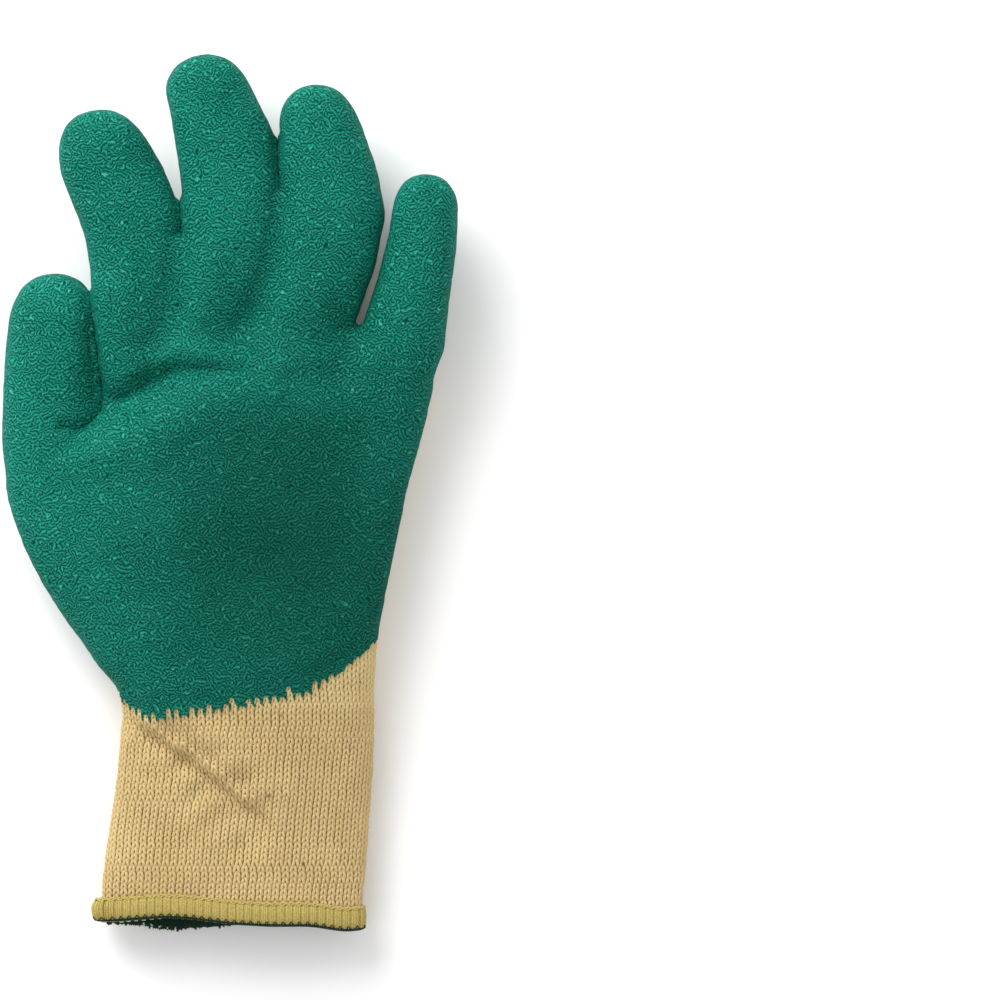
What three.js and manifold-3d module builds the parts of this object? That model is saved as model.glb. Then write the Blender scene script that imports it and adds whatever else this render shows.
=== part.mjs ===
// A left-hand work glove, lying on its back with the palm up: a seamless knit shell with a knit cuff,
// a crinkled latex coat over the palm, the thumb and the fingertips, and an overlocked hem round the mouth.
// Millimetres. +X points to the little finger, +Y to the fingertips, +Z up, out of the palm.
// The origin is under the middle of the glove, on the surface that it lies on.
import * as THREE from "three";
import { mergeVertices } from "three/addons/utils/BufferGeometryUtils.js";
import Module from "manifold-3d";

// Driving dimensions of the hand and the cuff, measured on the outside of the knit
const cuffLength = 62; // from the mouth to the wrist
const palmLength = 121; // from the wrist to the crotches of the fingers
const cuffWidth = 79;
const palmWidth = 93; // across the knuckles
const cuffThickness = 15; // both layers and the air between them
const palmThickness = 28.5;
const thumbSideLift = 5; // how far the back of the hand rises off the table towards the thumb

// Fingers: how long from the root in the palm to the tip, how wide and how thick
const indexFinger = { length: 86, width: 28, thickness: 19.5 };
const middleFinger = { length: 101.5, width: 27.7, thickness: 20 };
const ringFinger = { length: 93, width: 28.6, thickness: 19.5 };
const littleFinger = { length: 77.5, width: 20, thickness: 17 };
const thumb = { length: 84.5, width: 27.5, thickness: 21 };
const fingerHeight = 14.5; // of the roots' centres above the table
const fingertipLift = 7.5; // the moulded curl of the fingers
const fingerCurl = 1.4; // 1 lifts them evenly, more lifts mostly their tips
const thumbHeight = 12.6;
const fingerClearance = 0.6; // between the coats of two fingers that lie side by side

// Walls and gaps
const knitWall = 1.8;
const coatWall = 1.1;
const gap = 0.3; // between pieces that touch

// Hem: overlock yarn over the edge of the knit, and a second yarn inside it
const hemHeight = 8.6;
const hemYarn = 1.4;
const liningHeight = 6.5;
const liningYarn = 1.1;
const hemOverhang = 1.6; // past the edge of the knit
const liningOverhang = 2.3;
const mouthSag = 1.4; // how far the back layer hangs lower than the front at the mouth
const sagLength = 30; // of the stretch of cuff over which that fades out

// How finely the surfaces are divided
const upperSides = 17;
const lowerSides = 8;
const bodyRings = 24;
const fingerSides = 12;
const fingerRings = 8;
const tipRings = 3;

// Sections of the cuff and the palm, from the mouth up. at is the share of the zone's length, left and right
// are the edges as shares of the zone's width, low and high the faces as shares of its thickness.
const cuffSections = [
  { at: 0.0, left: -0.487, right: 0.487, low: 0.14, high: 0.92 },
  { at: 0.15, left: -0.492, right: 0.508, low: 0.125, high: 0.97 },
  { at: 0.4, left: -0.468, right: 0.523, low: -0.05, high: 1.04 },
  { at: 0.68, left: -0.434, right: 0.538, low: -0.08, high: 1.14 },
  { at: 0.97, left: -0.414, right: 0.548, low: -0.1, high: 1.33 },
];
const palmSections = [
  { at: 0.03, left: -0.345, right: 0.462, low: -0.06, high: 0.75 },
  { at: 0.08, left: -0.385, right: 0.465, low: -0.06, high: 0.79 },
  { at: 0.18, left: -0.473, right: 0.474, low: -0.06, high: 0.86 },
  { at: 0.28, left: -0.563, right: 0.486, low: -0.06, high: 0.93 },
  { at: 0.38, left: -0.632, right: 0.512, low: -0.06, high: 0.97 },
  { at: 0.48, left: -0.687, right: 0.54, low: -0.06, high: 1.0 },
  { at: 0.58, left: -0.708, right: 0.567, low: -0.06, high: 1.01 },
  { at: 0.64, left: -0.66, right: 0.59, low: -0.06, high: 1.01 },
  { at: 0.69, left: -0.49, right: 0.608, low: -0.06, high: 1.01 },
  { at: 0.73, left: -0.4, right: 0.621, low: -0.06, high: 1.01 },
  { at: 0.82, left: -0.387, right: 0.643, low: -0.06, high: 0.98 },
  { at: 0.9, left: -0.378, right: 0.605, low: 0.035, high: 0.91 },
  { at: 0.955, left: -0.33, right: 0.4, low: 0.13, high: 0.82 },
  { at: 0.985, left: -0.2, right: 0.1, low: 0.27, high: 0.68 },
];

// The fingers. rootAcross and rootAlong are shares of palmWidth and palmLength, lean is in degrees towards
// the thumb, lift is how much higher the finger lies, as a share of its thickness. In a section, along is the
// share of the finger's length, drift its centreline's offset towards the little finger as a share of its
// width, wide and deep are shares of its width and thickness. The bare tongue of knit on its back reaches up
// to tip, a share of the length, between radial and ulnar, shares of the half width.
const fingers = {
  index: {
    size: indexFinger,
    rootAcross: -0.277,
    rootAlong: 0.765,
    lean: 8.4,
    lift: 0.077,
    sections: [
      { along: 0.0, drift: 0.04, wide: 0.78, deep: 0.55 },
      { along: 0.28, drift: 0.11, wide: 0.94, deep: 1.0 },
      { along: 0.49, drift: 0.185, wide: 0.97, deep: 1.0 },
      { along: 0.667, drift: 0.15, wide: 0.98, deep: 0.98 },
      { along: 0.79, drift: 0.02, wide: 0.95, deep: 0.94 },
      { along: 0.895, drift: -0.03, wide: 0.88, deep: 0.9 },
      { along: 1.0, drift: -0.01, wide: 0.82, deep: 0.86 },
    ],
    tongue: { foot: 0.27, tip: 0.62, radial: 0.05, ulnar: 0.8 },
  },
  middle: {
    size: middleFinger,
    rootAcross: -0.05,
    rootAlong: 0.765,
    lean: 1,
    lift: 0.05,
    sections: [
      { along: 0.0, drift: 0.0, wide: 0.7, deep: 0.55 },
      { along: 0.29, drift: 0.06, wide: 0.98, deep: 1.0 },
      { along: 0.4, drift: 0.17, wide: 1.05, deep: 1.0 },
      { along: 0.5, drift: 0.22, wide: 1.08, deep: 1.0 },
      { along: 0.647, drift: 0.235, wide: 1.06, deep: 0.98 },
      { along: 0.765, drift: 0.16, wide: 0.98, deep: 0.95 },
      { along: 0.88, drift: 0.01, wide: 0.87, deep: 0.9 },
      { along: 1.0, drift: -0.02, wide: 0.82, deep: 0.86 },
    ],
    tongue: { foot: 0.25, tip: 0.66, radial: -0.72, ulnar: 0.72 },
  },
  ring: {
    size: ringFinger,
    rootAcross: 0.176,
    rootAlong: 0.765,
    lean: -6,
    lift: 0.026,
    sections: [
      { along: 0.0, drift: 0.0, wide: 0.7, deep: 0.55 },
      { along: 0.242, drift: 0.1, wide: 0.97, deep: 1.0 },
      { along: 0.36, drift: 0.17, wide: 0.99, deep: 1.0 },
      { along: 0.484, drift: 0.28, wide: 1.02, deep: 1.0 },
      { along: 0.597, drift: 0.305, wide: 1.02, deep: 1.0 },
      { along: 0.677, drift: 0.265, wide: 0.98, deep: 0.97 },
      { along: 0.806, drift: 0.135, wide: 0.87, deep: 0.93 },
      { along: 0.903, drift: 0.04, wide: 0.78, deep: 0.9 },
      { along: 1.0, drift: -0.01, wide: 0.74, deep: 0.86 },
    ],
    tongue: { foot: 0.22, tip: 0.7, radial: -0.72, ulnar: 0.72 },
  },
  little: {
    size: littleFinger,
    rootAcross: 0.43,
    rootAlong: 0.69,
    lean: -14.5,
    lift: 0,
    sections: [
      { along: 0.0, drift: 0.0, wide: 0.8, deep: 0.6 },
      { along: 0.317, drift: 0.21, wide: 1.2, deep: 1.1 },
      { along: 0.437, drift: 0.2, wide: 1.1, deep: 1.06 },
      { along: 0.556, drift: 0.195, wide: 1.01, deep: 1.02 },
      { along: 0.675, drift: 0.17, wide: 0.94, deep: 0.98 },
      { along: 0.794, drift: 0.14, wide: 0.9, deep: 0.94 },
      { along: 0.913, drift: 0.05, wide: 0.83, deep: 0.92 },
      { along: 1.0, drift: 0.0, wide: 0.78, deep: 0.9 },
    ],
    tongue: { foot: 0.3, tip: 0.72, radial: -0.7, ulnar: 0.75 },
  },
};
const thumbShape = {
  size: thumb,
  rootAcross: -0.53,
  rootAlong: 0.372,
  lean: 2.5,
  sections: [
    { along: 0.0, drift: 0.0, wide: 0.6, deep: 0.6 },
    { along: 0.25, drift: -0.065, wide: 0.96, deep: 1.0 },
    { along: 0.4, drift: -0.077, wide: 1.02, deep: 1.04 },
    { along: 0.55, drift: -0.06, wide: 1.02, deep: 1.04 },
    { along: 0.7, drift: -0.027, wide: 1.0, deep: 1.0 },
    { along: 0.82, drift: 0.006, wide: 0.96, deep: 0.95 },
    { along: 0.92, drift: 0.0, wide: 0.86, deep: 0.92 },
    { along: 1.0, drift: 0.0, wide: 0.8, deep: 0.9 },
  ],
};

// Lines along which neighbouring fingers press flat against each other, in shares of palmLength and palmWidth.
const touchLines = {
  thumbIndex: [
    { along: 0.45, across: 0.1 },
    { along: 0.58, across: -0.12 },
    { along: 0.66, across: -0.3 },
    { along: 0.72, across: -0.395 },
    { along: 0.819, across: -0.411 },
    { along: 0.918, across: -0.426 },
    { along: 1.016, across: -0.442 },
    { along: 1.12, across: -0.47 },
    { along: 1.25, across: -0.6 },
  ],
  indexMiddle: [
    { along: 0.95, across: -0.215 },
    { along: 0.98, across: -0.209 },
    { along: 1.04, across: -0.193 },
    { along: 1.103, across: -0.17 },
    { along: 1.164, across: -0.157 },
    { along: 1.24, across: -0.151 },
    { along: 1.36, across: -0.165 },
    { along: 1.51, across: -0.2 },
    { along: 1.6, across: -0.25 },
  ],
  middleRing: [
    { along: 0.93, across: 0.04 },
    { along: 0.967, across: 0.055 },
    { along: 1.016, across: 0.09 },
    { along: 1.066, across: 0.112 },
    { along: 1.115, across: 0.132 },
    { along: 1.164, across: 0.144 },
    { along: 1.263, across: 0.157 },
    { along: 1.386, across: 0.164 },
    { along: 1.5, across: 0.155 },
  ],
  ringLittle: [
    { along: 0.88, across: 0.38 },
    { along: 0.925, across: 0.395 },
    { along: 0.967, across: 0.411 },
    { along: 1.016, across: 0.43 },
    { along: 1.066, across: 0.454 },
    { along: 1.115, across: 0.478 },
    { along: 1.164, across: 0.494 },
    { along: 1.214, across: 0.505 },
    { along: 1.312, across: 0.523 },
  ],
};

// Dents and folds of the upper face. from and to are the ends of each form's middle line, as shares of
// palmWidth across and of palmLength along from the wrist. spread is its half breadth and rise its height,
// in shares of palmThickness.
const forms = [
  { name: "palm hollow", from: [0.16, 0.36], to: [0.26, 0.66], spread: 0.95, rise: -0.2 },
  { name: "heel of the hand", from: [0.12, 0.08], to: [0.36, 0.2], spread: 0.6, rise: 0.05 },
  { name: "thumb crease, lower part", from: [-0.4, 0.7], to: [-0.24, 0.79], spread: 0.17, rise: -0.13 },
  { name: "thumb crease, upper part", from: [-0.24, 0.79], to: [0.08, 0.85], spread: 0.19, rise: -0.1 },
  { name: "ridge below the crease", from: [-0.3, 0.68], to: [-0.02, 0.77], spread: 0.28, rise: 0.07 },
  { name: "hollow by the index finger", from: [-0.22, 0.93], to: [-0.19, 1.03], spread: 0.2, rise: -0.1 },
  { name: "hollow by the middle finger", from: [0.03, 0.92], to: [0.06, 1.04], spread: 0.22, rise: -0.12 },
  { name: "hollow by the ring finger", from: [0.35, 0.84], to: [0.39, 0.95], spread: 0.22, rise: -0.12 },
  { name: "cuff fold, valley", from: [-0.34, 0.0], to: [0.08, -0.29], spread: 0.16, rise: -0.11 },
  { name: "cuff fold, upper lip", from: [-0.22, 0.02], to: [0.16, -0.2], spread: 0.26, rise: 0.07 },
];

// Lower edge of the coat on the palm, in shares of palmWidth and palmLength.
const dipLine = [
  { across: -0.7, along: 0.05 },
  { across: -0.36, along: 0.02 },
  { across: -0.24, along: -0.022 },
  { across: -0.1, along: -0.005 },
  { across: 0.08, along: 0.018 },
  { across: 0.22, along: 0.045 },
  { across: 0.35, along: 0.09 },
  { across: 0.43, along: 0.14 },
  { across: 0.5, along: 0.2 },
  { across: 0.9, along: 0.26 },
];

// Edge of the coat on the back, along the thumb's side of the palm, in the same shares.
const backEdge = [
  { across: -0.7, along: -0.2 },
  { across: -0.375, along: 0.0 },
  { across: -0.36, along: 0.054 },
  { across: -0.345, along: 0.276 },
  { across: -0.33, along: 0.424 },
  { across: -0.3, along: 0.572 },
  { across: -0.28, along: 0.77 },
  { across: -0.29, along: 0.88 },
];
const littleEdge = [
  { across: 0.75, along: 0.93 },
  { across: 0.75, along: -0.2 },
];
const coatSplit = 12; // height above the table at which the coat of the back ends

const coatInside = gap;
const coatOutside = gap + coatWall;
const acrossPalm = (share) => share * palmWidth;
const alongPalm = (share) => cuffLength + share * palmLength;
const { clamp, degToRad, smoothstep } = THREE.MathUtils;

const wasm = await Module();
wasm.setup();

// A smooth curve through the rows of a table: the value of one column at a place along the table.
function columnAt(rows, placeKey, key, place) {
  const last = rows.length - 1;
  let i = 0;
  while (i < last - 1 && place > rows[i + 1][placeKey]) i += 1;
  const a = rows[i];
  const b = rows[i + 1];
  const span = b[placeKey] - a[placeKey];
  const t = clamp((place - a[placeKey]) / span, 0, 1);
  const slope = (from, to) => ((to[key] - from[key]) / (to[placeKey] - from[placeKey])) * span;
  const slopeA = slope(rows[Math.max(i - 1, 0)], b);
  const slopeB = slope(a, rows[Math.min(i + 2, last)]);
  const inA = (1 + 2 * t) * (1 - t) ** 2;
  const inB = t * t * (3 - 2 * t);
  return inA * a[key] + inB * b[key] + t * (1 - t) ** 2 * slopeA - t * t * (1 - t) * slopeB;
}

// The height that the dents and folds add to the upper face at a place.
function relief(x, y) {
  let sum = 0;
  for (const form of forms) {
    const fromX = acrossPalm(form.from[0]);
    const fromY = alongPalm(form.from[1]);
    const wayX = acrossPalm(form.to[0]) - fromX;
    const wayY = alongPalm(form.to[1]) - fromY;
    const t = clamp(((x - fromX) * wayX + (y - fromY) * wayY) / (wayX * wayX + wayY * wayY), 0, 1);
    const away = Math.hypot(x - fromX - t * wayX, y - fromY - t * wayY);
    const far = away / (form.spread * palmThickness);
    sum += form.rise * palmThickness * Math.exp(-far * far);
  }
  return sum;
}

// A rounded, flattened section, squarer below, where the cloth rests on the table.
const upperRoundness = 0.88;
const lowerRoundness = 0.74;
const upperFaceReach = 1.4; // how far down the sides a dent in the upper face still shows
function sectionPoint(angle, halfWidth, halfHeight) {
  const c = Math.cos(angle);
  const s = Math.sin(angle);
  const roundness = s > 0 ? upperRoundness : lowerRoundness;
  return {
    side: halfWidth * Math.sign(c) * Math.abs(c) ** roundness,
    up: halfHeight * Math.sign(s) * Math.abs(s) ** roundness,
    top: clamp(s * upperFaceReach, 0, 1),
    bottom: clamp(-s, 0, 1),
  };
}

// The cuff and the palm: the point at a distance from the mouth and an angle round it, moved out by grow.
const bodyRows = [
  ...cuffSections.map((row) => ({
    y: row.at * cuffLength,
    left: row.left * cuffWidth,
    right: row.right * cuffWidth,
    low: row.low * cuffThickness,
    high: row.high * cuffThickness,
  })),
  ...palmSections.map((row) => ({
    y: alongPalm(row.at),
    left: acrossPalm(row.left),
    right: acrossPalm(row.right),
    low: row.low * palmThickness,
    high: row.high * palmThickness,
  })),
];
function bodyPoint(y, angle, grow) {
  const value = (key) => columnAt(bodyRows, "y", key, y);
  const [left, right, low, high] = ["left", "right", "low", "high"].map(value);
  const point = sectionPoint(angle, (right - left) / 2 + grow, (high - low) / 2 + grow);
  const x = (left + right) / 2 + point.side;
  const thumbSide = smoothstep(-x, acrossPalm(0.16), acrossPalm(0.4));
  const lifted = thumbSideLift * thumbSide * smoothstep(y, cuffLength, alongPalm(0.1)) * point.bottom;
  const z = (low + high) / 2 + point.up + relief(x, y) * point.top + lifted;
  const sag = mouthSag * clamp(-point.up / cuffThickness / 0.3, 0, 1) * (1 - smoothstep(y, 0, sagLength));
  const ontoShoulder = smoothstep(y, alongPalm(0.6), alongPalm(0.66));
  const pastShoulder = smoothstep(y, alongPalm(0.72), alongPalm(0.78));
  const onShoulder = x < 0 ? ontoShoulder * (1 - pastShoulder) : 0;
  const ahead = grow * Math.max(smoothstep(y, alongPalm(0.82), alongPalm(0.92)), onShoulder);
  return new THREE.Vector3(x, y - sag + ahead, Math.max(z, -grow));
}

// A finger or the thumb: the point at a distance from its root and an angle round it, moved out by grow.
// limits are the touch lines on its two sides.
const tipLength = (finger) => 0.47 * finger.size.width;
const tipBluntness = 2.3;
function fingerPoint(finger, centreHeight, limits, distance, angle, grow) {
  const { length, width, thickness } = finger.size;
  const lean = degToRad(finger.lean);
  const column = (key, at) => columnAt(finger.sections, "along", key, at / length);
  const centre = (at) => {
    const drift = column("drift", at) * width;
    return new THREE.Vector2(
      acrossPalm(finger.rootAcross) - Math.sin(lean) * at + Math.cos(lean) * drift,
      alongPalm(finger.rootAlong) + Math.cos(lean) * at + Math.sin(lean) * drift,
    );
  };
  const roundLength = tipLength(finger) + grow;
  const beyond = clamp(1 + (distance - length - grow) / roundLength, 0, 1);
  const rounding = (1 - beyond ** tipBluntness) ** (1 / tipBluntness);
  const halfWidth = ((column("wide", distance) * width) / 2 + grow) * rounding;
  const halfHeight = ((column("deep", distance) * thickness) / 2 + grow) * rounding;
  const middle = centre(distance);
  const way = centre(distance + 1)
    .sub(centre(distance - 1))
    .normalize();
  const point = sectionPoint(angle, halfWidth, halfHeight);
  const y = middle.y - way.x * point.side;
  const along = (y - cuffLength) / palmLength;
  const spare = fingerClearance / 2 + coatOutside - grow;
  const limit = (line) => acrossPalm(columnAt(line, "along", "across", along));
  let x = middle.x + way.y * point.side;
  if (limits.left) x = Math.max(x, limit(limits.left) + spare);
  if (limits.right) x = Math.min(x, limit(limits.right) - spare);
  const z = centreHeight(distance / length) + point.up + relief(x, y) * point.top * rounding;
  return new THREE.Vector3(x, y, Math.max(z, -grow));
}

// A closed tube through rings of points. pole, if given, is the point that the last ring closes to.
function tube(rings, pole) {
  const sides = rings[0].length;
  const last = rings.length - 1;
  const middleOf = (ring) =>
    ring.reduce((sum, point) => sum.add(point), new THREE.Vector3()).divideScalar(ring.length);
  const points = [...rings.flat(), middleOf(rings[0]), pole ?? middleOf(rings[last])];
  const index = [];
  for (let i = 0; i < sides; i += 1) {
    const next = (i + 1) % sides;
    for (let j = 0; j < last; j += 1) {
      const a = j * sides + i;
      const b = j * sides + next;
      index.push(a, a + sides, b, b, a + sides, b + sides);
    }
    index.push(points.length - 2, i, next);
    index.push(points.length - 1, last * sides + next, last * sides + i);
  }
  const geometry = new THREE.BufferGeometry().setFromPoints(points);
  geometry.setIndex(index);
  return geometry;
}

function solid(geometry) {
  const bare = geometry.clone();
  Object.keys(bare.attributes).forEach((name) => name !== "position" && bare.deleteAttribute(name));
  const merged = mergeVertices(bare, 1e-4);
  return new wasm.Manifold(
    new wasm.Mesh({
      numProp: 3,
      vertProperties: merged.attributes.position.array,
      triVerts: new Uint32Array(merged.index.array),
    }),
  );
}
const joined = (solids) => solids.reduce((sum, part) => sum.add(part));

const bodyAngles = [
  ...Array.from({ length: upperSides }, (_, i) => (i / upperSides) * Math.PI),
  ...Array.from({ length: lowerSides }, (_, i) => Math.PI + (i / lowerSides) * Math.PI),
];
const bodySolid = (grow, places) =>
  solid(tube(places.map((y) => bodyAngles.map((angle) => bodyPoint(y, angle, grow)))));

function fingerSolid(finger, centreHeight, limits, grow) {
  const length = finger.size.length;
  const straight = length - tipLength(finger);
  const rounded = tipLength(finger) + grow;
  const places = [
    -grow,
    ...Array.from({ length: fingerRings - 1 }, (_, i) => (straight * (i + 1)) / (fingerRings - 1)),
    ...Array.from(
      { length: tipRings },
      (_, i) => straight + rounded * Math.sin((((i + 1) / (tipRings + 1)) * Math.PI) / 2),
    ),
  ];
  const angles = Array.from({ length: fingerSides }, (_, i) => ((i + 0.5) / fingerSides) * Math.PI * 2);
  const point = (distance, angle) => fingerPoint(finger, centreHeight, limits, distance, angle, grow);
  const rings = places.map((distance) => angles.map((angle) => point(distance, angle)));
  return solid(tube(rings, point(length + grow, 0)));
}

// The whole hand, moved out by grow. A hollow starts before the mouth, by beforeMouth.
const bodyEnd = alongPalm(palmSections.at(-1).at);
const bodyPlaces = [
  0,
  ...Array.from({ length: bodyRings }, (_, i) => hemHeight + ((bodyEnd - hemHeight) * i) / (bodyRings - 1)),
];
const beforeMouth = 10;
function handSolid(grow, hollow) {
  const places = [...(hollow ? [-beforeMouth] : []), ...bodyPlaces];
  const centre = (finger) => {
    const root = fingerHeight + finger.lift * finger.size.thickness;
    return (share) => root + fingertipLift * Math.max(share, 0) ** fingerCurl;
  };
  const { index, middle, ring, little } = fingers;
  const { thumbIndex, indexMiddle, middleRing, ringLittle } = touchLines;
  return joined([
    bodySolid(grow, places),
    fingerSolid(thumbShape, () => thumbHeight, { right: thumbIndex }, grow),
    fingerSolid(index, centre(index), { left: thumbIndex, right: indexMiddle }, grow),
    fingerSolid(middle, centre(middle), { left: indexMiddle, right: middleRing }, grow),
    fingerSolid(ring, centre(ring), { left: middleRing, right: ringLittle }, grow),
    fingerSolid(little, centre(little), { left: ringLittle }, grow),
  ]);
}

// A prism over an outline of [x, y] corners, from one height to another.
function prism(corners, low, high) {
  const outline = new THREE.Shape(corners.map(([x, y]) => new THREE.Vector2(x, y)));
  const geometry = new THREE.ExtrudeGeometry(outline, { depth: high - low, bevelEnabled: false });
  return solid(geometry.translate(0, 0, low));
}
const everywhere = 400;
const zoneAcross = (from, to) =>
  prism(
    [
      [-everywhere, from],
      [everywhere, from],
      [everywhere, to],
      [-everywhere, to],
    ],
    -everywhere,
    everywhere,
  );

// The bare tongue of knit on the back of one finger, as corners from its radial foot over its tip.
function tongueCorners(finger) {
  const { foot, tip, radial, ulnar } = finger.tongue;
  const steps = 9;
  const corners = [];
  for (let i = 0; i <= steps; i += 1) {
    const turn = Math.PI * (1 - i / steps);
    const share = foot + (tip - foot) * Math.sin(turn) ** 0.8;
    const width = finger.size.width;
    const middle = (radial + ulnar) / 2;
    const side = middle + ((ulnar - radial) / 2) * Math.sign(Math.cos(turn)) * Math.abs(Math.cos(turn)) ** 0.8;
    const halfWidth = (columnAt(finger.sections, "along", "wide", share) * width) / 2;
    const offset = columnAt(finger.sections, "along", "drift", share) * width + side * halfWidth;
    const lean = degToRad(finger.lean);
    corners.push([
      acrossPalm(finger.rootAcross) - Math.sin(lean) * share * finger.size.length + Math.cos(lean) * offset,
      alongPalm(finger.rootAlong) + Math.cos(lean) * share * finger.size.length + Math.sin(lean) * offset,
    ]);
  }
  return corners;
}
const corner = ({ across, along }) => [acrossPalm(across), alongPalm(along)];

// The knit shell, cut in two at the wrist
const shell = handSolid(0, false).subtract(handSolid(-knitWall, true));
const knitHand = shell.subtract(zoneAcross(-everywhere, cuffLength + gap / 2));
const knitCuff = shell.subtract(zoneAcross(cuffLength - gap / 2, everywhere));

// The latex coat: a skin over the shell, bare on the back of the hand and below the dip line
const belowDipLine = prism(
  [...dipLine.map(corner), [everywhere, -everywhere], [-everywhere, -everywhere]],
  -everywhere,
  everywhere,
);
const tongues = Object.values(fingers).flatMap(tongueCorners);
const bareOutline = [...backEdge.map(corner), ...tongues, ...littleEdge.map(corner)].reverse();
const bareBack = prism(bareOutline, -everywhere, coatSplit);
const latexCoat = handSolid(coatOutside, false)
  .subtract(handSolid(coatInside, true))
  .subtract(belowDipLine)
  .subtract(bareBack);

// The hem: yarn over the outside and the edge of the knit, and a yarn inside
const insideKnit = -knitWall - gap;
const pastHem = bodyPlaces[2];
const hemOverlock = bodySolid(gap + hemYarn, [-hemOverhang, 0, hemHeight])
  .subtract(bodySolid(gap, [-gap, hemHeight, pastHem]))
  .subtract(bodySolid(-knitWall, [-beforeMouth, 0, hemHeight, pastHem]));
const hemInnerYarn = bodySolid(insideKnit, [-liningOverhang, 0, liningHeight]).subtract(
  bodySolid(insideKnit - liningYarn, [-beforeMouth, 0, hemHeight, pastHem]),
);

const knit = new THREE.MeshStandardMaterial({ color: "#cdb680", roughness: 0.95 });
const latex = new THREE.MeshStandardMaterial({ color: "#1a7565", roughness: 0.45 });
const overlockYarn = new THREE.MeshStandardMaterial({ color: "#b39f5c", roughness: 0.9 });
const innerYarn = new THREE.MeshStandardMaterial({ color: "#2d5546", roughness: 0.9 });

function mesh(name, part, material) {
  const { vertProperties, triVerts } = part.getMesh();
  const geometry = new THREE.BufferGeometry();
  geometry.setAttribute("position", new THREE.BufferAttribute(vertProperties, 3));
  geometry.setIndex(new THREE.BufferAttribute(triVerts, 1));
  const result = new THREE.Mesh(geometry, material);
  result.name = name;
  return result;
}

const glove = new THREE.Group();
glove.add(mesh("knit_hand", knitHand, knit));
glove.add(mesh("knit_cuff", knitCuff, knit));
glove.add(mesh("latex_coat", latexCoat, latex));
glove.add(mesh("hem_overlock", hemOverlock, overlockYarn));
glove.add(mesh("hem_inner_yarn", hemInnerYarn, innerYarn));

// Stand the glove on the floor, with the origin under its middle
const bounds = new THREE.Box3().setFromObject(glove);
const middleOfGlove = bounds.getCenter(new THREE.Vector3());
glove.position.set(-middleOfGlove.x, -middleOfGlove.y, -bounds.min.z);
glove.updateMatrixWorld(true);

export default glove;
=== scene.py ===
"""A left-hand work glove lying on its back, palm up: knit shell, crinkled latex coat and overlocked hem.

Metres, in the CAD frame: +X to the little finger, +Y to the fingertips, +Z up, out of the palm.
The CAD nodes give the shape. The yarn, the latex skin and the hem's threads are laid on a smooth skin
that is made from them.
"""

import math

import bmesh
import bpy
import numpy as np
from mathutils import Matrix, Vector, noise
from mathutils.bvhtree import BVHTree


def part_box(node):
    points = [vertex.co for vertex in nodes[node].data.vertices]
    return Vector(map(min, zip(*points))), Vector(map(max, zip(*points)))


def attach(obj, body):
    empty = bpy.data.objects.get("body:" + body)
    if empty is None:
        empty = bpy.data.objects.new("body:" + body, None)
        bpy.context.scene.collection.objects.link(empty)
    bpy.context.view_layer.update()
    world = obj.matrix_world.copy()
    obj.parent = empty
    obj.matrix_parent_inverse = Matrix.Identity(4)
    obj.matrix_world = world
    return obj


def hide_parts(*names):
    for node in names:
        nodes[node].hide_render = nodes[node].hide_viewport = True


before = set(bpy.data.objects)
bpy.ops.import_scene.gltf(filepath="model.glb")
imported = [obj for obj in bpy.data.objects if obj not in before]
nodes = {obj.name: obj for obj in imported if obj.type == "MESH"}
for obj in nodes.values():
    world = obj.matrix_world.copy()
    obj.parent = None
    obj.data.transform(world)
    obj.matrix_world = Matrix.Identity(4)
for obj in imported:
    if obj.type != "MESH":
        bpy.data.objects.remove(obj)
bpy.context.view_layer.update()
for name in ("Cube", "Light", "Camera"):
    if name in bpy.data.objects:
        bpy.data.objects.remove(bpy.data.objects[name])

MM = 0.001

# Yarn: a plain knit of about ten stitches to the inch
WALES = 68  # columns of stitches round the cuff
HAND_WALE = 2.75 * MM  # their width on the hand, where no elastic draws them in
ELASTIC_FADE = 30 * MM  # above the wrist, over which they widen to that
COURSE = 1.75 * MM  # height of a row of stitches
YARN_DEPTH = 0.3 * MM  # of the yarn's middle under the skin
YARN_BULK = 1.6 * MM  # the scale of a stitch out of the cloth
GROUND_DEPTH = 0.62 * MM  # of the cloth that shows between the stitches
UNEVENNESS = 0.07  # how far a stitch may be larger or smaller than its place, as a share
FIRST_ROW = 3.5 * MM  # above the mouth
LAST_ROW = 112 * MM  # above it the back is coated
UNDER_COAT = 0.9 * MM  # how far stitches go on under the coat's edge
UNDER_COAT_GROUND = 1.8 * MM  # how far the cloth between them goes on there

# Coat
COAT_THICK = 1.35 * MM
COAT_EDGE = 0.4 * MM
EDGE_DEPTH = 0.5 * MM  # how deep the coat's edge goes into the knit
COAT_BUMPS = [  # heights in mm
    {"height": 0.13, "period": 2.6 * MM, "seed": 1},
    {"height": 0.22, "period": 9 * MM, "seed": 2},
]
SCALLOPS = {"height": 0.3, "period": 2.4 * MM, "seed": 5}  # of the coat's edge on the back
TOOTH = 3.6 * MM  # how far a column of stitches stays bare above the dip line
EDGE_FADE = (2.5 * MM, 11 * MM)  # above the dip line, where the coat grows to its full thickness
FINGER_GAP = 1.9 * MM  # the widest gap between fingers that the soft coat closes
LITTLE_SLIT = 1.4 * MM  # the gap that stays open between ring and little finger
SLIT_ROOT = (31 * MM, 46 * MM)  # across and along, where that gap begins
BACK_EDGE_HEIGHT = 12.6 * MM  # the knit of the back is bare only below this
BACK_SLOPE = 2.6 * MM  # on the back, the way over which bare knit turns to coat
NEAR_COAT = 1 * MM  # skin this close to the coat's CAD node is coated
CROTCH_REACH = 8 * MM  # how far round a crotch the coat goes through to the back

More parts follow.
